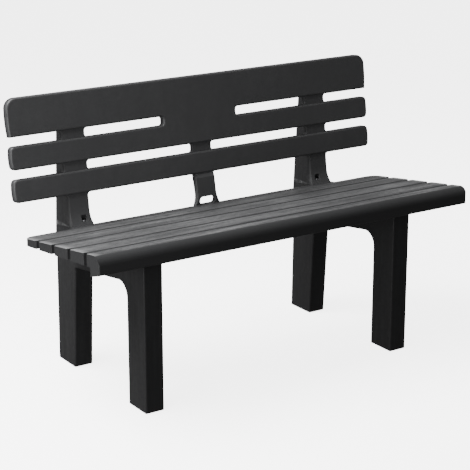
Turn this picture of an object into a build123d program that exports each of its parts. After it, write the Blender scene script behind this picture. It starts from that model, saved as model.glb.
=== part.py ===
"""Two-seat resin garden bench, knock-down type, in millimetres.

Four injection mouldings and their screws: a slatted seat, a slatted backrest
and two leg frames. X runs along the bench, the front faces -Y and +Z is up.
The origin is the centre of the footprint on the ground.
"""

from build123d import *
from math import atan, cos, degrees, sin
import os

os.makedirs("parts", exist_ok=True)

# ---- overall size -----------------------------------------------------------
WIDTH = 1135.0
DEPTH = 526.0
HALF_WIDTH = WIDTH / 2
FRONT_Y = -DEPTH / 2
REAR_Y = DEPTH / 2
WALL = 4.5  # general wall of the mouldings
FIT = 0.5  # clearance round the spigots
BELOW_SEAT = 290.0  # level clear below the seat, where its plan sketches lie
PLAN_HEIGHT = 200.0  # from there to well above the seat

# ---- seat -------------------------------------------------------------------
SEAT_LEVEL = 418.2  # height of the seat plane at the middle of the footprint
SEAT_SLOPE = 0.142  # fall towards the back
SEAT_SKIN = 6.0
SEAT_REAR_Y = 160.3  # rear edge between the uprights
OVERHANG_REAR_Y = 141.0  # rear edge of the two overhanging ends
OVERHANG_CORNER = 30.0
FRONT_CORNER = 4.0
RIM_LEVEL = 394.5  # underside of the end rim at the middle of the footprint
RIM_SLOPE = 0.105
NOSE_RADIUS = 26.0
NOSE_DROP = 24.0  # from the start of the rounded nose to its upright face
NOSE_HOLLOW = ((0.0, 428.0), (7.0, 440.0))  # run and level of the hollow's two points behind the nose
LIP_RADIUS = 4.0
NOSE_BOTTOM = 406.5
RAIL_REAR = (-220.0, 394.0)  # lower rear corner of the D-shaped front rail
GROOVE_Y = (59.0, -25.3, -109.6, -194.0)
GROOVE_HALF_WIDTH = 6.5
GROOVE_SEAM = 0.9  # half width of the seam at the groove's bottom
GROOVE_DEPTH = 3.8
NOTCH_DEPTH = 13.0  # how far each groove bites into the seat's ends
NOTCH_WIDTH = 16.0
NOTCH_LIP = 4.0
CROSS_RIB_X = (0.0, 90.0, 180.0, 270.0, 355.0, 423.0, 490.0)
BAY_X = CROSS_RIB_X[4:6]  # the ribs on both sides of the bay that takes a leg frame
BAY_MIDDLE = sum(BAY_X) / 2
BAY_WIDTH = BAY_X[1] - BAY_X[0]
BAY_REAR_Y = 148.0

# ---- leg frames -------------------------------------------------------------
LEG_X = (362.0, 416.0)
LEG_MIDDLE = sum(LEG_X) / 2
LEG_WIDTH = LEG_X[1] - LEG_X[0]
FRONT_LEG_Y = (-207.5, -121.0)
REAR_LEG_Y = (169.5, REAR_Y)
REAR_LEG_TOP = 352.0
ARCH_LEVEL = 308.0  # underside of the crosspiece at the middle of the footprint
ARCH_SPRING_Z = 282.0  # where the arch leaves the front leg
ARCH_RUN = (44.0, 11.0)  # how far its front and rear curves reach under the crosspiece
ARCH_REAR_DROP = 8.0
CROTCH_Y = 152.0  # where the crosspiece meets the rear leg
HOLLOW_RISE = 20.0  # how far the cutting shape of the hollow stands out at the top
LEG_EDGE = 4.5
FOOT_EDGE = 3.5
FRAME_SCREW_Y = (-62.0, 84.0)
BOSS_RADIUS = 8.0
WEB_THICKNESS = 3.0
SEAT_BOSS_DROP = 32.0  # length of the seat's bosses below its upper surface

# ---- backrest ---------------------------------------------------------------
BACK_Y = 169.2  # front face at the lower edge of the bottom slat
BACK_Z = 481.0
BACK_SLOPE = 0.1304
SLAT_THICKNESS = 20.0
SLAT_EDGE = 5.0
SLAT_SPANS = ((0.0, 59.8), (84.3, 144.8), (169.0, 268.2))
TOP_CORNER = 28.0
SLAT_CORNER = 11.0
SLOT_CORNER = 8.0
BACK_HALF_WIDTH = 570.5
END_BULGE = 3.0
PLATE_HALF_WIDTH = 116.0
CENTRE_HALF_WIDTH = 29.0
UPRIGHT_X = (359.5, 416.0)
SLOT_UPRIGHT_X = (354.5, 419.0)  # where it crosses the slots
FOOT_X = (354.0, 421.0)  # where its flared foot meets the seat
FOOT_FLARE_TOP = 426.0
FOOT_BEND_Z = 440.0  # where the upright's front starts to curve forward
FOOT_FRONT_Y = 130.0  # clear in front of the feet
FOOT_REAR_Y = 205.0
UPRIGHT_RECESS = 5.3
UPRIGHT_TOP = 728.0
UPRIGHT_REAR = ((256.0, 350.0), (231.0, 700.0))  # two points of its rear face
UPRIGHT_HOLLOWS = ((435.4, 486.0), (490.0, 566.0), (570.0, 646.0), (650.0, 723.5))
HOLLOW_FRONT = 24.0  # from the slats' plane back to the hollows
EAR_TOP = 395.4
SPIGOT_BOTTOM = 300.0
SPIGOT_WALL = 4.0
SOCKET_X = (370.0, 406.0)
SOCKET_Y = (182.0, 248.0)
SOCKET_CORNER = 4.0
POCKET_X = (370.5, 386.5)
POCKET_Z = (406.0, 423.0)
POCKET_REAR_Y = 170.0
POCKET_SCREW_Y = 164.0
POCKET_CORNER = 4.0
RIB_PITCH = 94.0
RIB_COUNT = 11
RIB_THICKNESS = 3.5
TOE_HALF_WIDTH = 38.0
TOE_GAP = (51.0, 21.5)  # width and height of the gap between the toes
TOE_GAP_Z = 407.0
TOE_RUN = 6.0  # how far the feet of the uprights stand in front of the slats' plane
TOE_PAD = 16.0  # solid part of the seat's rear edge that the toes and their screws need
TOE_TOP = 410.0
TOE_FLARE = (397.0, 430.0)  # where the centre upright's sides spread into the toes
CENTRE_TOP = 640.0
CENTRE_STEP = (470.0, 486.0)  # where it steps back behind the bottom slat
TAB_BOTTOM = 362.0
TAB_TOP = 400.0
TAB_THICKNESS = 8.0
TAB_SCREW_X = 24.0
TAB_SCREW_Z = 382.0

# ---- screws -----------------------------------------------------------------
SEAT_PILOT_DEPTH = 22.0  # below the feet of the outer uprights
TAB_PILOT_DEPTH = 14.0  # into the seat's rear edge
SCREW_RADIUS = 2.5
SCREW_HEAD_RADIUS = 4.8
SCREW_HEAD_HEIGHT = 3.6
SCREW_HEAD_ROUND = 1.6
SCREW_CROSS = (5.2, 1.2, 2.0)  # length, width and depth of the cross recess
FRAME_SCREW_REACH = 10.0  # from the underside of its head to the seat's boss
SCREW_BITE = 20.0  # length of a frame or upright screw's shank in the seat
TAB_SCREW_BITE = 12.0

RECLINE = atan(BACK_SLOPE)
BACK = Plane(
    origin=(0, BACK_Y, BACK_Z),
    x_dir=(1, 0, 0),
    z_dir=(0, -cos(RECLINE), sin(RECLINE)),
)


def seat_z(y):
    """Height of the seat's upper surface."""
    return SEAT_LEVEL - SEAT_SLOPE * y


def rim_z(y):
    """Height of the rim's lower edge at the seat's ends."""
    return RIM_LEVEL - RIM_SLOPE * y


def arch_z(y):
    """Height of the underside of a leg frame's crosspiece."""
    return ARCH_LEVEL - SEAT_SLOPE * y


def back_y(z):
    """Front plane of the backrest."""
    return BACK_Y + BACK_SLOPE * (z - BACK_Z)


def upright_rear_y(z):
    """Rear face of the outer uprights and of the ears below them."""
    (y_low, z_low), (y_high, z_high) = UPRIGHT_REAR
    return y_low + (y_high - y_low) * (z - z_low) / (z_high - z_low)


def across(x):
    """Plane across the bench, whose sketch axes are Y and Z."""
    return Plane(origin=(x, 0, 0), x_dir=(0, 1, 0), z_dir=(1, 0, 0))


# ---- cells under the seat's skin ---------------------------------------------
with BuildPart() as seat_cells:
    with BuildSketch(across(-HALF_WIDTH)):
        with BuildLine():
            Polyline(
                (FRONT_Y + WALL, BELOW_SEAT),
                *[(FRONT_Y + WALL + run, level) for run, level in NOSE_HOLLOW],
                (FRONT_Y + NOSE_RADIUS, seat_z(FRONT_Y + NOSE_RADIUS) - SEAT_SKIN),
                (SEAT_REAR_Y - WALL, seat_z(SEAT_REAR_Y - WALL) - SEAT_SKIN),
                (SEAT_REAR_Y - WALL, BELOW_SEAT),
                close=True,
            )
        make_face()
    extrude(amount=WIDTH)
    # plan: inside the end walls, the cut-back corners and the notches
    with BuildSketch(Plane.XY.offset(BELOW_SEAT)):
        with Locations((0, (FRONT_Y + SEAT_REAR_Y) / 2)):
            Rectangle(WIDTH - 2 * WALL, SEAT_REAR_Y - FRONT_Y)
        for side in (-1, 1):
            with Locations((side * HALF_WIDTH, (OVERHANG_REAR_Y + SEAT_REAR_Y) / 2)):
                Rectangle(
                    2 * (HALF_WIDTH - BAY_X[1]),
                    SEAT_REAR_Y - OVERHANG_REAR_Y + 2 * WALL,
                    mode=Mode.SUBTRACT,
                )
            with Locations(*[(side * HALF_WIDTH, y) for y in GROOVE_Y]):
                SlotOverall(2 * (NOTCH_DEPTH + WALL), NOTCH_WIDTH + 2 * WALL, mode=Mode.SUBTRACT)
        rear_corners = vertices().filter_by(
            lambda v: abs(v.X) > HALF_WIDTH - WALL - 1 and v.Y > GROOVE_Y[0] + NOTCH_WIDTH
        )
        fillet(rear_corners, radius=OVERHANG_CORNER - WALL)
    extrude(amount=PLAN_HEIGHT, mode=Mode.INTERSECT)
    # ribs: one under each groove, and cross ribs between the bays
    with BuildSketch(Plane.XY.offset(BELOW_SEAT)):
        with Locations(*[(0, y) for y in GROOVE_Y]):
            Rectangle(WIDTH, WALL)
        for side in (-1, 1):
            with Locations((side * BAY_MIDDLE, (BAY_REAR_Y + RAIL_REAR[0]) / 2)):
                Rectangle(BAY_WIDTH, BAY_REAR_Y - RAIL_REAR[0], mode=Mode.SUBTRACT)
            for end_wall_y in (BAY_REAR_Y + WALL / 2, RAIL_REAR[0] - WALL / 2):
                with Locations((side * BAY_MIDDLE, end_wall_y)):
                    Rectangle(BAY_WIDTH, WALL)
            with Locations(*[(side * x, 0) for x in CROSS_RIB_X]):
                Rectangle(WALL, DEPTH)
        for y in FRAME_SCREW_Y:
            with Locations((-LEG_MIDDLE, y), (LEG_MIDDLE, y)):
                Circle(BOSS_RADIUS)
        with Locations((0, SEAT_REAR_Y - TOE_PAD / 2)):
            Rectangle(2 * TOE_HALF_WIDTH, TOE_PAD)
    extrude(amount=PLAN_HEIGHT, mode=Mode.SUBTRACT)


# ---- outer envelope of the two outer uprights ---------------------------------
with BuildPart() as upright_envelope:
    # side view: the front follows the slats, then curves forward to the foot
    with BuildSketch(across(-FOOT_X[1])):
        with BuildLine():
            top = (back_y(UPRIGHT_TOP) + UPRIGHT_RECESS, UPRIGHT_TOP)
            bend = (back_y(FOOT_BEND_Z) + UPRIGHT_RECESS, FOOT_BEND_Z)
            foot = (back_y(EAR_TOP) - TOE_RUN, EAR_TOP)
            Line(top, bend)
            TangentArc(bend, foot, tangent=(-BACK_SLOPE, -1.0))
            Polyline(
                foot,
                (upright_rear_y(EAR_TOP), EAR_TOP),
                (upright_rear_y(UPRIGHT_TOP), UPRIGHT_TOP),
                top,
            )
        make_face()
    extrude(amount=2 * FOOT_X[1])
    # front view: straight sides that flare at the foot
    with BuildSketch(Plane.XZ.offset(-REAR_Y)):
        for side in (-1, 1):
            with BuildLine():
                inner_bend = (side * UPRIGHT_X[0], FOOT_FLARE_TOP)
                inner_foot = (side * FOOT_X[0], EAR_TOP)
                outer_bend = (side * UPRIGHT_X[1], FOOT_FLARE_TOP)
                outer_foot = (side * FOOT_X[1], EAR_TOP)
                Line((side * UPRIGHT_X[0], UPRIGHT_TOP), inner_bend)
                TangentArc(inner_bend, inner_foot, tangent=(0.0, -1.0))
                Line(inner_foot, outer_foot)
                TangentArc(outer_bend, outer_foot, tangent=(0.0, -1.0))
                Line(outer_bend, (side * UPRIGHT_X[1], UPRIGHT_TOP))
                Line((side * UPRIGHT_X[1], UPRIGHT_TOP), (side * UPRIGHT_X[0], UPRIGHT_TOP))
            make_face()
    extrude(amount=DEPTH, mode=Mode.INTERSECT)
    # plan: the flare dies away towards the back
    with BuildSketch(Plane.XY.offset(EAR_TOP)):
        for side in (-1, 1):
            with BuildLine():
                Polyline(
                    (side * FOOT_X[0], FOOT_FRONT_Y),
                    (side * FOOT_X[1], FOOT_FRONT_Y),
                    (side * UPRIGHT_X[1], FOOT_REAR_Y),
                    (side * UPRIGHT_X[1], REAR_Y),
                    (side * UPRIGHT_X[0], REAR_Y),
                    (side * UPRIGHT_X[0], FOOT_REAR_Y),
                    close=True,
                )
            make_face()
    extrude(amount=UPRIGHT_TOP - EAR_TOP, mode=Mode.INTERSECT)


# ---- seat -------------------------------------------------------------------
with BuildPart() as seat:
    # side profile: sloping top, rounded nose, D-shaped front rail, end rim
    with BuildSketch(across(-HALF_WIDTH)):
        with BuildLine():
            nose_start = (FRONT_Y + NOSE_RADIUS, seat_z(FRONT_Y + NOSE_RADIUS))
            nose_end = (FRONT_Y, nose_start[1] - NOSE_DROP)
            lip = (FRONT_Y, NOSE_BOTTOM + LIP_RADIUS)
            lip_rear = (FRONT_Y + LIP_RADIUS, NOSE_BOTTOM)
            Line((SEAT_REAR_Y, seat_z(SEAT_REAR_Y)), nose_start)
            TangentArc(nose_start, nose_end, tangent=(-1.0, SEAT_SLOPE))
            Line(nose_end, lip)
            TangentArc(lip, lip_rear, tangent=(0.0, -1.0))
            Polyline(
                lip_rear,
                RAIL_REAR,
                (RAIL_REAR[0], rim_z(RAIL_REAR[0])),
                (SEAT_REAR_Y, rim_z(SEAT_REAR_Y)),
                (SEAT_REAR_Y, seat_z(SEAT_REAR_Y)),
            )
        make_face()
    extrude(amount=WIDTH)
    # plan outline: notched ends and cut-back rear corners
    with BuildSketch(Plane.XY.offset(BELOW_SEAT)):
        with Locations((0, (FRONT_Y + SEAT_REAR_Y) / 2)):
            Rectangle(WIDTH, SEAT_REAR_Y - FRONT_Y)
        for side in (-1, 1):
            with Locations((side * HALF_WIDTH, (OVERHANG_REAR_Y + SEAT_REAR_Y) / 2)):
                Rectangle(
                    2 * (HALF_WIDTH - BAY_X[1] - WALL / 2),
                    SEAT_REAR_Y - OVERHANG_REAR_Y,
                    mode=Mode.SUBTRACT,
                )
            with Locations(*[(side * HALF_WIDTH, y) for y in GROOVE_Y]):
                SlotOverall(2 * NOTCH_DEPTH, NOTCH_WIDTH, mode=Mode.SUBTRACT)
        rear_corners = vertices().filter_by(
            lambda v: abs(v.X) > HALF_WIDTH - WALL - 1 and v.Y > GROOVE_Y[0] + NOTCH_WIDTH
        )
        fillet(rear_corners, radius=OVERHANG_CORNER)
        front_corners = vertices().filter_by(lambda v: v.Y < FRONT_Y + 1)
        fillet(front_corners, radius=FRONT_CORNER)
        notch_lips = vertices().filter_by(
            lambda v: abs(v.X) > HALF_WIDTH - 0.1 and min(abs(v.Y - y) for y in GROOVE_Y) < NOTCH_WIDTH
        )
        fillet(notch_lips, radius=NOTCH_LIP)
    extrude(amount=PLAN_HEIGHT, mode=Mode.INTERSECT)
    # grooves between the slats, whose edges roll over into a narrow seam
    with BuildSketch(across(-HALF_WIDTH)):
        for y in GROOVE_Y:
            with BuildLine():
                rear_edge = (y + GROOVE_HALF_WIDTH, seat_z(y + GROOVE_HALF_WIDTH))
                front_edge = (y - GROOVE_HALF_WIDTH, seat_z(y - GROOVE_HALF_WIDTH))
                rear_seam = (y + GROOVE_SEAM, seat_z(y + GROOVE_SEAM) - GROOVE_DEPTH)
                front_seam = (y - GROOVE_SEAM, seat_z(y - GROOVE_SEAM) - GROOVE_DEPTH)
                TangentArc(rear_edge, rear_seam, tangent=(-1.0, SEAT_SLOPE))
                Line(rear_seam, front_seam)
                TangentArc(front_edge, front_seam, tangent=(1.0, -SEAT_SLOPE))
                Polyline(
                    rear_edge,
                    (rear_edge[0], rear_edge[1] + GROOVE_DEPTH),
                    (front_edge[0], front_edge[1] + GROOVE_DEPTH),
                    front_edge,
                )
            make_face()
    extrude(amount=WIDTH, mode=Mode.SUBTRACT)
    add(seat_cells.part, mode=Mode.SUBTRACT)
    # the bosses for the frame screws end below the skin, not at the rim
    for y in FRAME_SCREW_Y:
        with BuildSketch(Plane.XY.offset(seat_z(y) - SEAT_BOSS_DROP)):
            with Locations((-LEG_MIDDLE, y), (LEG_MIDDLE, y)):
                Circle(BOSS_RADIUS + 1.0)
        extrude(amount=BELOW_SEAT - SEAT_LEVEL, mode=Mode.SUBTRACT)

    # ears that stand on the rear legs and carry the outer uprights
    for ear_x in (-UPRIGHT_X[1], UPRIGHT_X[0]):
        with BuildSketch(across(ear_x)):
            with BuildLine():
                Polyline(
                    (BAY_REAR_Y, REAR_LEG_TOP),
                    (upright_rear_y(REAR_LEG_TOP), REAR_LEG_TOP),
                    (upright_rear_y(EAR_TOP), EAR_TOP),
                    (BAY_REAR_Y, EAR_TOP),
                    close=True,
                )
            make_face()
        extrude(amount=UPRIGHT_X[1] - UPRIGHT_X[0])
    add(upright_envelope.part, mode=Mode.SUBTRACT)
    with BuildSketch(Plane.XY.offset(REAR_LEG_TOP)):
        for side in (-1, 1):
            with Locations((side * sum(SOCKET_X) / 2, sum(SOCKET_Y) / 2)):
                RectangleRounded(SOCKET_X[1] - SOCKET_X[0], SOCKET_Y[1] - SOCKET_Y[0], SOCKET_CORNER)
    extrude(amount=EAR_TOP - REAR_LEG_TOP, mode=Mode.SUBTRACT)

    # pilot holes for the screws
    for y in FRAME_SCREW_Y:
        with BuildSketch(Plane.XY.offset(seat_z(y) - SEAT_BOSS_DROP)):
            with Locations((-LEG_MIDDLE, y), (LEG_MIDDLE, y)):
                Circle(SCREW_RADIUS)
        extrude(amount=SEAT_BOSS_DROP - SEAT_SKIN, mode=Mode.SUBTRACT)
    with BuildSketch(Plane.XY.offset(EAR_TOP)):
        with Locations((-sum(POCKET_X) / 2, POCKET_SCREW_Y), (sum(POCKET_X) / 2, POCKET_SCREW_Y)):
            Circle(SCREW_RADIUS)
    extrude(amount=-SEAT_PILOT_DEPTH, mode=Mode.SUBTRACT)
    with BuildSketch(Plane.XZ.offset(-SEAT_REAR_Y)):
        with Locations((-TAB_SCREW_X, TAB_SCREW_Z), (TAB_SCREW_X, TAB_SCREW_Z)):
            Circle(SCREW_RADIUS)
    extrude(amount=TAB_PILOT_DEPTH, mode=Mode.SUBTRACT)
seat.part.label = "seat"
export_step(seat.part, "parts/seat.step")


# ---- leg frames -------------------------------------------------------------
def frame_outline(inset, top_inset):
    """Side outline of a leg frame, moved inwards by a wall thickness."""
    front = FRONT_LEG_Y[0] + inset
    front_inner = FRONT_LEG_Y[1] - inset
    rear_inner = REAR_LEG_Y[0] + inset
    rear = REAR_LEG_Y[1] - inset
    crotch_y = CROTCH_Y + inset
    step = BAY_REAR_Y - 2 * FIT - inset
    spring = (front_inner, ARCH_SPRING_Z)
    crotch = (crotch_y, arch_z(crotch_y) - ARCH_REAR_DROP)
    arch_front = (front_inner + ARCH_RUN[0], arch_z(front_inner + ARCH_RUN[0]) + inset)
    arch_rear = (crotch_y - ARCH_RUN[1], arch_z(crotch_y - ARCH_RUN[1]) + inset)
    top = SEAT_SKIN + top_inset
    Polyline(
        spring,
        (front_inner, inset),
        (front, inset),
        (front, seat_z(front) - top),
        (step, seat_z(step) - top),
        (step, REAR_LEG_TOP - top_inset),
        (upright_rear_y(REAR_LEG_TOP) - inset, REAR_LEG_TOP - top_inset),
        (rear, inset),
        (rear_inner, inset),
        crotch,
    )
    TangentArc(crotch, arch_rear, tangent=(crotch_y - rear_inner, ARCH_SPRING_Z))
    Line(arch_rear, arch_front)
    TangentArc(spring, arch_front, tangent=(0.0, 1.0))


with BuildPart() as leg_frame:
    with BuildSketch(across(LEG_X[0])):
        with BuildLine():
            frame_outline(0.0, 0.0)
        make_face()
    extrude(amount=LEG_WIDTH)
    side_edges = edges().filter_by(lambda e: abs(abs(e.center().X - LEG_MIDDLE) - LEG_WIDTH / 2) < 0.1)
    side_edges = side_edges.filter_by(lambda e: 1.0 < e.center().Z < REAR_LEG_TOP - 1.0)
    fillet(side_edges, radius=LEG_EDGE)
    foot_edges = edges().filter_by(lambda e: abs(e.center().Z) < 0.1)
    fillet(foot_edges, radius=FOOT_EDGE)
    # hollow, open at the top
    with BuildSketch(across(LEG_X[0] + WALL)):
        with BuildLine():
            frame_outline(WALL, -HOLLOW_RISE)
        make_face()
    extrude(amount=LEG_WIDTH - 2 * WALL, mode=Mode.SUBTRACT)
    # webs that stiffen the crosspiece, and tubes that guide the screws
    for y in FRAME_SCREW_Y:
        tube_length = seat_z(y) - SEAT_BOSS_DROP - arch_z(y)
        with BuildSketch(Plane.XY.offset(arch_z(y) + 1.0)):
            with Locations((LEG_MIDDLE, y)):
                Circle(BOSS_RADIUS)
                Rectangle(LEG_WIDTH - WALL, WEB_THICKNESS)
        extrude(amount=tube_length - 1.0)
        with BuildSketch(Plane.XY.offset(arch_z(y) - FRAME_SCREW_REACH)):
            with Locations((LEG_MIDDLE, y)):
                Circle(SCREW_HEAD_RADIUS + 1.0)
        extrude(amount=tube_length, mode=Mode.SUBTRACT)
        with BuildSketch(Plane.XY.offset(arch_z(y))):
            with Locations((LEG_MIDDLE, y)):
                Circle(SCREW_RADIUS)
        extrude(amount=tube_length, mode=Mode.SUBTRACT)
leg_frame_right = leg_frame.part
leg_frame_right.label = "leg_frame_right"
export_step(leg_frame_right, "parts/leg_frame_right.step")

with BuildPart() as leg_frame_left:
    add(mirror(leg_frame.part, about=Plane.YZ))
leg_frame_left.part.label = "leg_frame_left"
export_step(leg_frame_left.part, "parts/leg_frame_left.step")


# ---- backrest ---------------------------------------------------------------
with BuildPart() as slat_cells:
    with BuildSketch(BACK.offset(-SLAT_THICKNESS - 1.0)):
        for low, high in SLAT_SPANS:
            with Locations((0, (low + high) / 2)):
                with GridLocations(RIB_PITCH, 1, RIB_COUNT + 1, 1):
                    Rectangle(RIB_PITCH - RIB_THICKNESS, high - low - 2 * WALL)
        low, high = SLAT_SPANS[1][1] - WALL, SLAT_SPANS[2][0] + WALL
        for side in (-1, 1):
            with Locations((side * (CENTRE_HALF_WIDTH + PLATE_HALF_WIDTH - WALL) / 2, (low + high) / 2)):
                Rectangle(PLATE_HALF_WIDTH - WALL - CENTRE_HALF_WIDTH, high - low + 0.2)
        corner = TOP_CORNER / 2
        with Locations(
            (corner - HALF_WIDTH, SLAT_SPANS[2][1] - corner),
            (HALF_WIDTH - corner, SLAT_SPANS[2][1] - corner),
        ):
            Rectangle(TOP_CORNER, TOP_CORNER, mode=Mode.SUBTRACT)
        back_height = SLAT_SPANS[2][1]
        upright_middle = sum(SLOT_UPRIGHT_X) / 2
        with Locations((-upright_middle, back_height / 2), (upright_middle, back_height / 2)):
            Rectangle(SLOT_UPRIGHT_X[1] - SLOT_UPRIGHT_X[0], back_height + 1.0, mode=Mode.SUBTRACT)
    extrude(amount=SLAT_THICKNESS + 1.0 - WALL)

# outline of the three slats in the plane of the backrest, with slightly bulging ends
with BuildSketch() as slats:
    edge_x = BACK_HALF_WIDTH - END_BULGE
    for low, high in SLAT_SPANS:
        with BuildLine():
            Line((-edge_x, low), (edge_x, low))
            ThreePointArc((edge_x, low), (BACK_HALF_WIDTH, (low + high) / 2), (edge_x, high))
            Line((edge_x, high), (-edge_x, high))
            ThreePointArc((-edge_x, high), (-BACK_HALF_WIDTH, (low + high) / 2), (-edge_x, low))
        make_face()
    top_corners = vertices().group_by(Axis.Y)[-1]
    other_corners = vertices().filter_by(lambda v: v.Y < SLAT_SPANS[2][1] - 1.0)
    fillet(top_corners, radius=TOP_CORNER)
    fillet(other_corners, radius=SLAT_CORNER)


def slot_corners(corners, half_widths):
    """Those corners where a slot ends against an upright or the plate."""
    levels = [level for span in SLAT_SPANS for level in span][:-1]
    at_side = corners.filter_by(lambda v: min(abs(abs(v.X) - x) for x in half_widths) < 0.1)
    return at_side.filter_by(lambda v: min(abs(v.Y - level) for level in levels) < 0.1)


# the raised faces of the slats and of the plate
with BuildPart() as raised:
    with BuildSketch(BACK):
        add(slats.sketch)
        with Locations((0, (SLAT_SPANS[1][1] + SLAT_SPANS[2][0]) / 2)):
            Rectangle(2 * PLATE_HALF_WIDTH, SLAT_SPANS[2][0] - SLAT_SPANS[1][1] + 1.0)
        fillet(slot_corners(vertices(), (PLATE_HALF_WIDTH,)), radius=SLOT_CORNER)
    extrude(amount=-SLAT_THICKNESS)
    front_faces = faces().filter_by(lambda f: f.normal_at().dot(BACK.z_dir) > 0.999)
    fillet(front_faces.edges(), radius=SLAT_EDGE)

with BuildPart() as backrest:
    # the sheet behind the slats' faces: slats, uprights and plate in one outline
    with BuildSketch(BACK.offset(-UPRIGHT_RECESS)):
        add(slats.sketch)
        with Locations((-upright_middle, 110.0), (upright_middle, 110.0)):
            Rectangle(SLOT_UPRIGHT_X[1] - SLOT_UPRIGHT_X[0], 200.0)
        foot_middle = sum(UPRIGHT_X) / 2
        with Locations((-foot_middle, 0.0), (foot_middle, 0.0)):
            Rectangle(UPRIGHT_X[1] - UPRIGHT_X[0], 40.0)
        with Locations((0, 80.0)):
            Rectangle(2 * CENTRE_HALF_WIDTH, 200.0)
        with Locations((0, (SLAT_SPANS[1][1] + SLAT_SPANS[2][0]) / 2)):
            Rectangle(2 * PLATE_HALF_WIDTH, SLAT_SPANS[2][0] - SLAT_SPANS[1][1] + 1.0)
        slot_ends = (*SLOT_UPRIGHT_X, *UPRIGHT_X, PLATE_HALF_WIDTH, CENTRE_HALF_WIDTH)
        fillet(slot_corners(vertices(), slot_ends), radius=SLOT_CORNER)
    extrude(amount=UPRIGHT_RECESS - SLAT_THICKNESS)
    add(upright_envelope.part)
    add(raised.part)
    add(slat_cells.part, mode=Mode.SUBTRACT)

    # hollows of the outer uprights, open to the back between their cross ribs
    for side in (-1, 1):
        with BuildSketch(across(side * (UPRIGHT_X[0] + WALL))):
            for low, high in UPRIGHT_HOLLOWS:
                with BuildLine():
                    Polyline(
                        (back_y(low) + HOLLOW_FRONT, low),
                        (upright_rear_y(low) + WALL, low),
                        (upright_rear_y(high) + WALL, high),
                        (back_y(high) + HOLLOW_FRONT, high),
                        close=True,
                    )
                make_face()
        extrude(amount=side * (UPRIGHT_X[1] - UPRIGHT_X[0] - 2 * WALL), mode=Mode.SUBTRACT)
    # spigots that go down through the seat's ears into the rear legs
    with BuildSketch(Plane.XY.offset(SPIGOT_BOTTOM)):
        for side in (-1, 1):
            with Locations((side * sum(SOCKET_X) / 2, sum(SOCKET_Y) / 2)):
                spigot_width = SOCKET_X[1] - SOCKET_X[0] - 2 * FIT
                spigot_depth = SOCKET_Y[1] - SOCKET_Y[0] - 2 * FIT
                RectangleRounded(spigot_width, spigot_depth, SOCKET_CORNER)
                Rectangle(
                    spigot_width - 2 * SPIGOT_WALL,
                    spigot_depth - 2 * SPIGOT_WALL,
                    mode=Mode.SUBTRACT,
                )
    extrude(amount=EAR_TOP - SPIGOT_BOTTOM)
    # pockets at the feet, with a hole in each floor for its screw
    with BuildSketch(Plane.XZ.offset(-POCKET_REAR_Y)):
        for side in (-1, 1):
            with Locations((side * sum(POCKET_X) / 2, sum(POCKET_Z) / 2)):
                RectangleRounded(POCKET_X[1] - POCKET_X[0], POCKET_Z[1] - POCKET_Z[0], POCKET_CORNER)
    extrude(amount=POCKET_REAR_Y - FOOT_FRONT_Y, mode=Mode.SUBTRACT)
    with BuildSketch(Plane.XY.offset(EAR_TOP - 1.0)):
        with Locations((-sum(POCKET_X) / 2, POCKET_SCREW_Y), (sum(POCKET_X) / 2, POCKET_SCREW_Y)):
            Circle(SCREW_RADIUS)
    extrude(amount=POCKET_Z[0] - EAR_TOP + 2.0, mode=Mode.SUBTRACT)

    # centre upright with a rib down its back, standing on the seat's rear edge
    with BuildSketch(across(-TOE_HALF_WIDTH)):
        with BuildLine():
            toe_y = back_y(TOE_TOP) - TOE_RUN
            Polyline(
                (back_y(CENTRE_TOP) + UPRIGHT_RECESS, CENTRE_TOP),
                (back_y(CENTRE_STEP[1]) + UPRIGHT_RECESS, CENTRE_STEP[1]),
                (back_y(CENTRE_STEP[0]) - 2.0, CENTRE_STEP[0]),
                (toe_y, TOE_TOP),
                (toe_y, seat_z(toe_y)),
                (SEAT_REAR_Y, seat_z(SEAT_REAR_Y)),
                (SEAT_REAR_Y, TAB_BOTTOM),
                (SEAT_REAR_Y + TAB_THICKNESS, TAB_BOTTOM),
                (SEAT_REAR_Y + TAB_THICKNESS, TAB_TOP),
                (back_y(CENTRE_STEP[0]) + SLAT_THICKNESS, CENTRE_STEP[0]),
                (back_y(CENTRE_TOP) + SLAT_THICKNESS, CENTRE_TOP),
                close=True,
            )
        make_face()
    centre = extrude(amount=2 * TOE_HALF_WIDTH, mode=Mode.PRIVATE)
    with BuildSketch(Plane.XZ.offset(-REAR_Y)) as centre_front:
        with BuildLine():
            for side in (-1, 1):
                flare_top = (side * CENTRE_HALF_WIDTH, TOE_FLARE[1])
                flare_bottom = (side * TOE_HALF_WIDTH, TOE_FLARE[0])
                Line((side * CENTRE_HALF_WIDTH, CENTRE_TOP), flare_top)
                TangentArc(flare_top, flare_bottom, tangent=(0.0, -1.0))
                Line(flare_bottom, (side * TOE_HALF_WIDTH, TAB_BOTTOM))
            Line((-CENTRE_HALF_WIDTH, CENTRE_TOP), (CENTRE_HALF_WIDTH, CENTRE_TOP))
            Line((-TOE_HALF_WIDTH, TAB_BOTTOM), (TOE_HALF_WIDTH, TAB_BOTTOM))
        make_face()
        with Locations((0, TOE_GAP_Z)):
            SlotOverall(*TOE_GAP, mode=Mode.SUBTRACT)
    front_block = extrude(to_extrude=centre_front.sketch, amount=DEPTH, mode=Mode.PRIVATE)
    add(centre & front_block)
    with BuildSketch(Plane.XZ.offset(-SEAT_REAR_Y - TAB_THICKNESS)):
        with Locations((-TAB_SCREW_X, TAB_SCREW_Z), (TAB_SCREW_X, TAB_SCREW_Z)):
            Circle(SCREW_RADIUS)
    extrude(amount=TAB_THICKNESS, mode=Mode.SUBTRACT)
backrest.part.label = "backrest"
export_step(backrest.part, "parts/backrest.step")


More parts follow.
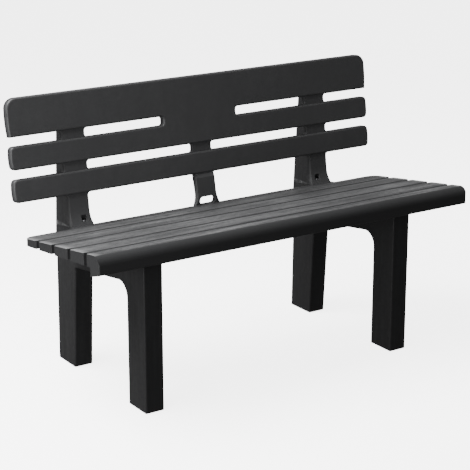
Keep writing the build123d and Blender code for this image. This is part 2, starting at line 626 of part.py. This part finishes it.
# ---- screws -----------------------------------------------------------------
def pan_screw(place, length):
    """Pan-head screw, its head's underside on the plane and its shank along +Z of it."""
    with BuildPart() as screw:
        with BuildSketch(place):
            Circle(SCREW_HEAD_RADIUS)
        extrude(amount=-SCREW_HEAD_HEIGHT)
        rims = edges().filter_by(GeomType.CIRCLE).sort_by(Axis(place.origin, place.z_dir))
        fillet(rims[0], radius=SCREW_HEAD_ROUND)
        with BuildSketch(place.offset(-SCREW_HEAD_HEIGHT)):
            Rectangle(SCREW_CROSS[0], SCREW_CROSS[1])
            Rectangle(SCREW_CROSS[1], SCREW_CROSS[0])
        extrude(amount=SCREW_CROSS[2], mode=Mode.SUBTRACT)
        with BuildSketch(place):
            Circle(SCREW_RADIUS)
        extrude(amount=length)
    return screw.part


frame_screws = []
for y in FRAME_SCREW_Y:
    seat_face = seat_z(y) - SEAT_BOSS_DROP
    for side in (-1, 1):
        place = Plane(origin=(side * LEG_MIDDLE, y, seat_face - FRAME_SCREW_REACH))
        frame_screws.append(pan_screw(place, FRAME_SCREW_REACH + SCREW_BITE))
frame_screw_set = Compound(children=frame_screws)
frame_screw_set.label = "frame_screws"
export_step(frame_screw_set, "parts/frame_screws.step")

upright_screws = []
for side in (-1, 1):
    place = Plane(origin=(side * sum(POCKET_X) / 2, POCKET_SCREW_Y, POCKET_Z[0]), z_dir=(0, 0, -1))
    upright_screws.append(pan_screw(place, POCKET_Z[0] - EAR_TOP + SCREW_BITE))
upright_screw_set = Compound(children=upright_screws)
upright_screw_set.label = "upright_screws"
export_step(upright_screw_set, "parts/upright_screws.step")

centre_screws = []
for side in (-1, 1):
    place = Plane(origin=(side * TAB_SCREW_X, SEAT_REAR_Y + TAB_THICKNESS, TAB_SCREW_Z), z_dir=(0, -1, 0))
    centre_screws.append(pan_screw(place, TAB_THICKNESS + TAB_SCREW_BITE))
centre_screw_set = Compound(children=centre_screws)
centre_screw_set.label = "centre_screws"
export_step(centre_screw_set, "parts/centre_screws.step")
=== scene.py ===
# %% [markdown]
# # A two-seat resin garden bench
#
# The bench is moulded from one dark resin: a slatted seat, a slatted backrest
# and two arched leg frames, held together by a few screws. The measured model
# comes in as a fixed frame, and its mouldings already have their final shapes,
# so this lesson gives them their finishes, a floor and light.

# %% Load the frame
import math
import bmesh
import bpy
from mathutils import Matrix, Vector

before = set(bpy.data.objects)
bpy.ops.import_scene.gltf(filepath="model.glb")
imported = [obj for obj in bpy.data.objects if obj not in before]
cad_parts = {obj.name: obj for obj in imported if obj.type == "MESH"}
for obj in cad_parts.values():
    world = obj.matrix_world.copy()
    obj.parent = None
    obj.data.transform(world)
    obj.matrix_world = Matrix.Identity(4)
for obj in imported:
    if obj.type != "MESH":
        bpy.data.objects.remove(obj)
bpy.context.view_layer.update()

print("nodes", sorted(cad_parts))

# %% [markdown]
# ## The camera
#
# The bench is seen from its front left, from the eye height of somebody
# standing. A long lens from about four metres keeps the slats nearly parallel.

# %% Camera
CAMERA_PLACE = (-2.1898, -3.2921, 1.5590)
LOOK_DOWN = 17.0589  # degrees below the horizon
HEADING = 33.4748  # degrees from the bench's depth towards its right end
SENSOR_WIDTH = 36.0  # mm
FOCAL_LENGTH = 118.31  # mm
FARTHEST_SEEN = 50.0

camera_data = bpy.data.cameras.new("camera")
camera_data.sensor_width = SENSOR_WIDTH
camera_data.lens = FOCAL_LENGTH
camera_data.clip_end = FARTHEST_SEEN
camera = bpy.data.objects.new("camera", camera_data)
camera.location = CAMERA_PLACE
camera.rotation_euler = (math.radians(90.0 - LOOK_DOWN), 0.0, math.radians(-HEADING))
bpy.context.scene.collection.objects.link(camera)
bpy.context.scene.camera = camera
print("camera at", CAMERA_PLACE, "with a lens of", FOCAL_LENGTH, "mm")

# %% [markdown]
# ## Shader sums as plain expressions
#
# A material is a graph of nodes, but its sums read better as Python. `Wire`
# wraps one output socket, and each operator adds the Math node that it stands
# for.

# %% Wires
class Wire:
    """One output socket, on which plain arithmetic adds Math nodes."""

    def __init__(self, finish, socket):
        self.finish = finish
        self.socket = socket

    def _math(self, operation, *terms):
        return self.finish.node("ShaderNodeMath", {"operation": operation}, dict(enumerate(terms)))

    def __add__(self, other):
        return self._math("ADD", self, other)

    __radd__ = __add__

    def __sub__(self, other):
        return self._math("SUBTRACT", self, other)

    def __rsub__(self, other):
        return self._math("SUBTRACT", other, self)

    def __mul__(self, other):
        return self._math("MULTIPLY", self, other)

    __rmul__ = __mul__

    def __abs__(self):
        return self._math("ABSOLUTE", self)

    def fraction(self):
        return self._math("FRACT", self)

    def clamp(self, low, high):
        return self._math("MAXIMUM", self._math("MINIMUM", self, high), low)


print("a wire understands +, -, *, abs(), fraction() and clamp()")

# %% [markdown]
# ## One material as an object
#
# `Finish` holds one material. Every node comes from `Finish.node`, which sets
# the node's own options first and then its sockets, by value or by link.
# Patterns are placed by Object coordinates, in metres, so a scale of 5 along
# the bench and 75 across it gives streaks fifteen times as long as wide.

# %% Finishes
FIRST_COLOUR, SECOND_COLOUR, MIXED_COLOUR = 6, 7, 2  # the Mix node's colour sockets


class Finish:
    """One material with its Principled shader and the tools that feed it."""

    def __init__(self, name):
        self.material = bpy.data.materials.new(name)
        self.material.use_nodes = True
        self.tree = self.material.node_tree
        self.shader = self.tree.nodes["Principled BSDF"]
        self.place = self.node("ShaderNodeTexCoord", {}, {}, "Object")

    def node(self, kind, settings, inputs, output=0):
        """Add a node, and give back its output as a wire."""
        made = self.tree.nodes.new(kind)
        for key, value in settings.items():
            setattr(made, key, value)
        for key, value in inputs.items():
            self.fill(made.inputs[key], value)
        return Wire(self, made.outputs[output])

    def fill(self, socket, value):
        if isinstance(value, Wire):
            self.tree.links.new(value.socket, socket)
        else:
            socket.default_value = value

    def feed(self, name, value):
        """Set or link a socket of the Principled shader."""
        self.fill(self.shader.inputs[name], value)

    def part(self, axis):
        """X, Y or Z of the place on the bench, in metres."""
        return self.node("ShaderNodeSeparateXYZ", {}, {"Vector": self.place}, axis)

    def noise(self, scale, detail, stretch=(1.0, 1.0, 1.0), roughness=0.5):
        mapping = {"Vector": self.place, "Scale": stretch}
        spot = self.node("ShaderNodeMapping", {}, mapping, "Vector")
        values = {"Vector": spot, "Scale": scale, "Detail": detail, "Roughness": roughness}
        return self.node("ShaderNodeTexNoise", {}, values, "Fac")

    def between(self, value, low, high):
        """Map value from low[0]..high[0] to low[1]..high[1], and no further."""
        ends = {"From Min": low[0], "From Max": high[0], "To Min": low[1], "To Max": high[1]}
        return self.node("ShaderNodeMapRange", {"clamp": True}, {"Value": value, **ends})

    def blend(self, factor, first, second):
        colours = {"Factor": factor, FIRST_COLOUR: first, SECOND_COLOUR: second}
        return self.node("ShaderNodeMix", {"data_type": "RGBA"}, colours, MIXED_COLOUR)


print("a finish offers", ", ".join(name for name in vars(Finish) if not name.startswith("_")))

# %% [markdown]
# ## Where sheen and shade are painted
#
# The seat's upper surface gets a painted sheen, with a painted highlight at the tips of its slats
# and painted shade towards its grooves; the rubbing of its ridges is kept to that surface too. The
# recesses behind the faces of the backrest's slats get painted shade. A mask could be painted by
# hand, but here each such surface is a plane or a strip of the bench itself. A short formula on
# Object coordinates finds it, and the mask then fits the shape exactly.

# %% Wear masks
SEAT_LEVEL = 0.4182  # height of the seat's upper surface at the middle of the bench
SEAT_SLOPE = 0.142  # its fall towards the back
SKIN_DEPTH = 0.0001  # a point this little below that surface gets the full painted sheen
EDGE_DEPTH = 0.0014  # and one this far below it gets none
GROOVE_Y = 0.059  # the groove nearest to the back
SLAT_PITCH = 0.0843
GROOVE_EDGE = 0.004  # out to here from a groove's middle there is least painted sheen, which paints shade in the groove
SLAT_CROWN = 0.016  # from here on there is the full painted sheen
# share of the painted sheen left beside a groove; the rest is painted shade
GROOVE_SHEEN = 0.25
TIP_START = 0.546  # the slats' tips, measured from the bench's middle
TIP_END = 0.566
BACK_Y = 0.1692  # front of the backrest's slats, at the height BACK_Z
BACK_Z = 0.481
BACK_SLOPE = 0.1304  # its recline
SLAT_FACE = 0.0065  # less than this behind the front is slat face
RECESS = 0.016  # and this far behind it is recess


def painted_top_sheen(finish):
    """Painted sheen: 1 on the seat's upper surface, fading out towards its grooves and edges,
    which paints shade in the grooves.
    """
    surface = finish.part("Z") + finish.part("Y") * SEAT_SLOPE - SEAT_LEVEL
    flat = finish.between(surface, (-EDGE_DEPTH, 0.0), (-SKIN_DEPTH, 1.0))
    slats = (finish.part("Y") - GROOVE_Y) * (1.0 / SLAT_PITCH) + 0.5
    from_groove = abs(slats.fraction() - 0.5) * SLAT_PITCH
    return flat * finish.between(from_groove, (GROOVE_EDGE, GROOVE_SHEEN), (SLAT_CROWN, 1.0))


def painted_tip_highlight(finish):
    """Painted highlight: 1 at the tips of the seat's slats, 0 along the rest of them."""
    return finish.between(abs(finish.part("X")), (TIP_START, 0.0), (TIP_END, 1.0))


def painted_recess_shade(finish):
    """Painted shade: 0 on the faces of the backrest's slats, 1 on what lies well behind them."""
    behind = finish.part("Y") - (finish.part("Z") - BACK_Z) * BACK_SLOPE - BACK_Y
    return finish.between(behind, (SLAT_FACE, 0.0), (RECESS, 1.0))


print("the seat falls", round(SEAT_SLOPE * 100, 1), "mm in every 100 mm towards the back")

# %% [markdown]
# ## The resin
#
# Seat and slats are moulded against a tool cut like planed wood: shallow
# streaks run along the seat, with short dents between them. The backrest and
# the legs come from a smoother tool and show only a faint upright mottle. One
# recipe serves all three. A streaky noise gives the relief, and where that
# relief stands high it is rubbed paler and glossier.

# %% Resin recipe
# One resin in several copies. The darkest base colour is painted shade: the legs get it whole, and
# the backrest's recesses blend to it. The palest base colour is painted light on the backrest.
RESIN_SHADED = (0.0190, 0.0190, 0.0196, 1.0)
RESIN_MID = (0.0250, 0.0252, 0.0260, 1.0)
RESIN_LIT = (0.0440, 0.0443, 0.0455, 1.0)
# The rubbed colour is real rubbing on the ridges, and on the seat's top also painted sheen and a
# painted highlight.
RESIN_RUBBED_AND_SHEEN = (0.1900, 0.1910, 0.1940, 1.0)
RESIN_IOR = 1.36
STREAK_SHARE = 0.6  # of the relief; the dents have the rest
PORE_RELIEF = 0.02
RIDGE_FOOT, RIDGE_TOP = 0.41, 0.65  # relief between which a ridge is rubbed paler
LESS_USED, MORE_USED = (0.35, 0.4), (0.65, 1.0)  # cloud, and its share of the rubbing
CLOUD_DULLNESS = 0.12
PORE_DULLNESS = 0.1
RIDGE_GLOSS = 0.08
GLOSSIEST, DULLEST = 0.2, 0.9
TOP_SHEEN = 0.10  # painted sheen everywhere on the seat's top
TIP_HIGHLIGHT = 0.7  # and a painted highlight at the slats' tips
SIDE_RELIEF = 0.2  # relief that is left on the seat's sides


def resin_finish(name, colour, streaks, dents, relief, rubbed, roughness, wear_and_painted_light=None):
    """A satin resin. Streaks and dents are pattern scales, and relief is a height in metres."""
    finish = Finish(name)
    streak = finish.noise(scale=1.0, detail=5.0, stretch=streaks, roughness=0.6)
    dent = finish.noise(scale=1.0, detail=3.0, stretch=dents, roughness=0.7)
    pores = finish.noise(scale=700.0, detail=2.0)
    cloud = finish.noise(scale=4.0, detail=2.0)
    height = streak * STREAK_SHARE + dent * (1.0 - STREAK_SHARE)
    ridges = finish.between(height, (RIDGE_FOOT, 0.0), (RIDGE_TOP, 1.0))
    wear_and_sheen = ridges * finish.between(cloud, LESS_USED, MORE_USED) * rubbed
    if wear_and_painted_light == "seat":
        # On the seat, a painted sheen covers the top and fades to painted shade in the grooves.
        top = painted_top_sheen(finish)
        # The tips of the seat's slats get a painted highlight.
        wear_and_sheen = (wear_and_sheen + painted_tip_highlight(finish) * TIP_HIGHLIGHT + TOP_SHEEN) * top
        height = height * (top * (1.0 - SIDE_RELIEF) + SIDE_RELIEF)
    if wear_and_painted_light == "back":
        # On the backrest, painted shade in the recesses behind the slats.
        colour = finish.blend(painted_recess_shade(finish), colour, RESIN_SHADED)
    dullness = roughness + (cloud - 0.5) * CLOUD_DULLNESS - ridges * RIDGE_GLOSS
    dullness = dullness + (pores - 0.5) * PORE_DULLNESS
    surface = {"Height": height + pores * PORE_RELIEF, "Strength": 1.0, "Distance": relief}
    finish.feed("Base Color", finish.blend(wear_and_sheen.clamp(0.0, 1.0), colour, RESIN_RUBBED_AND_SHEEN))
    finish.feed("Roughness", dullness.clamp(GLOSSIEST, DULLEST))
    finish.feed("Normal", finish.node("ShaderNodeBump", {}, surface, "Normal"))
    finish.feed("IOR", RESIN_IOR)
    print(name, "has", len(finish.tree.nodes), "shader nodes")
    return finish.material


print("rubbed resin is", round(RESIN_RUBBED_AND_SHEEN[0] / RESIN_MID[0], 1), "times as pale as the seat's")

# %% [markdown]
# ## Seat, backrest and legs
#
# The seat's streaks run along the bench, so their scale is small on X. The
# mottle of the backrest and the legs runs upright, so theirs is small on Z.

# %% Resin finishes
seat_resin = resin_finish(
    "seat_resin",
    RESIN_MID,
    streaks=(5.0, 75.0, 90.0),
    dents=(70.0, 110.0, 120.0),
    relief=0.0034,
    rubbed=0.78,
    roughness=0.40,
    wear_and_painted_light="seat",
)
back_resin = resin_finish(
    "back_resin",
    RESIN_LIT,
    streaks=(26.0, 60.0, 7.0),
    dents=(60.0, 60.0, 60.0),
    relief=0.0007,
    rubbed=0.06,
    roughness=0.46,
    wear_and_painted_light="back",
)
leg_resin = resin_finish(
    "leg_resin",
    RESIN_SHADED,
    streaks=(60.0, 60.0, 6.0),
    dents=(70.0, 70.0, 70.0),
    relief=0.0006,
    rubbed=0.05,
    roughness=0.46,
)

# %% [markdown]
# ## Screws
#
# Zinc-plated steel, dulled by weather, in the pockets and under the seat. A
# fine noise on the roughness alone is enough for pieces this small.

# %% Steel finish
STEEL = (0.18, 0.18, 0.19, 1.0)
SHINY, DULL = (0.3, 0.3), (0.7, 0.5)  # plating noise, and the roughness it gives

steel_finish = Finish("zinc_plated_steel")
steel_finish.feed("Base Color", STEEL)
steel_finish.feed("Metallic", 1.0)
plating = steel_finish.noise(scale=900.0, detail=3.0)
steel_finish.feed("Roughness", steel_finish.between(plating, SHINY, DULL))
steel = steel_finish.material
print("steel finish", steel.name)

# %% [markdown]
# ## Finishes on the mouldings
#
# A node of the measured model keeps its mesh. Only its material slot is
# replaced, so its shape and place stay as they were measured.

# %% Finishes on the nodes
FINISH_OF = {
    "seat": seat_resin,
    "backrest": back_resin,
    "leg_frame_left": leg_resin,
    "leg_frame_right": leg_resin,
    "frame_screws": steel,
    "upright_screws": steel,
    "centre_screws": steel,
}
for node_name, material in FINISH_OF.items():
    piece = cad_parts[node_name]
    piece.data.materials.clear()
    piece.data.materials.append(material)
print("finishes on", len(FINISH_OF), "nodes")

# %% [markdown]
# ## Floor
#
# A plain pale sheet under the bench, made from one grid face. It glows, so that
# it stays pale in soft light, but it is hidden from diffuse and glossy rays,
# because a glow from below would flatten the dark resin.

# %% Floor
FLOOR_HALF_SIZE = 30.0
FLOOR_COLOUR = (0.9, 0.9, 0.9, 1.0)
FLOOR_ROUGHNESS = 0.9
FLOOR_GLOW = 4.5
WHITE = (1.0, 1.0, 1.0, 1.0)

floor_mesh = bpy.data.meshes.new("floor")
floor = bpy.data.objects.new("floor", floor_mesh)
bpy.context.scene.collection.objects.link(floor)
sheet = bmesh.new()
bmesh.ops.create_grid(sheet, x_segments=1, y_segments=1, size=FLOOR_HALF_SIZE)
sheet.to_mesh(floor_mesh)
sheet.free()
floor_finish = Finish("pale_floor")
floor_finish.feed("Base Color", FLOOR_COLOUR)
floor_finish.feed("Roughness", FLOOR_ROUGHNESS)
floor_finish.feed("Emission Color", WHITE)
floor_finish.feed("Emission Strength", FLOOR_GLOW)
floor_mesh.materials.append(floor_finish.material)
floor.visible_diffuse = False
floor.visible_glossy = False
print("floor", len(floor_mesh.polygons), "face")

# %% [markdown]
# ## Light
#
# A wide soft lamp overhead lights the seat's top. A low one at the front left
# models the legs and the slats' ends, and a weak one keeps the right side
# readable.

# %% Lamps
def softbox(name, place, aim, size, power):
    """A rectangular soft lamp at place, turned towards aim."""
    data = bpy.data.lights.new(name, "AREA")
    data.shape = "RECTANGLE"
    data.size, data.size_y = size
    data.energy = power
    lamp = bpy.data.objects.new(name, data)
    lamp.location = place
    lamp.rotation_euler = (Vector(aim) - Vector(place)).to_track_quat("-Z", "Y").to_euler()
    bpy.context.scene.collection.objects.link(lamp)
    print("lamp", name, power, "W")


softbox("key", place=(-2.1, -0.8, 0.65), aim=(-0.3, 0.0, 0.3), size=(1.2, 0.9), power=35.0)
softbox("overhead", place=(-1.4, 0.4, 2.6), aim=(-0.3, 0.0, 0.4), size=(2.0, 1.6), power=215.0)
softbox("fill", place=(3.2, 0.1, 1.0), aim=(0.4, 0.1, 0.4), size=(1.6, 1.6), power=30.0)

# %% [markdown]
# ## An even sky
#
# A plain white world could light the bench by itself, but it would leave no
# shading on it. A dim one only fills the deepest shadows.

# %% World
WORLD_STRENGTH = 0.15

world = bpy.data.worlds.new("studio")
world.use_nodes = True
backdrop = world.node_tree.nodes["Background"]
backdrop.inputs["Color"].default_value = WHITE
backdrop.inputs["Strength"].default_value = WORLD_STRENGTH
bpy.context.scene.world = world
print("world strength", WORLD_STRENGTH)

# %% [markdown]
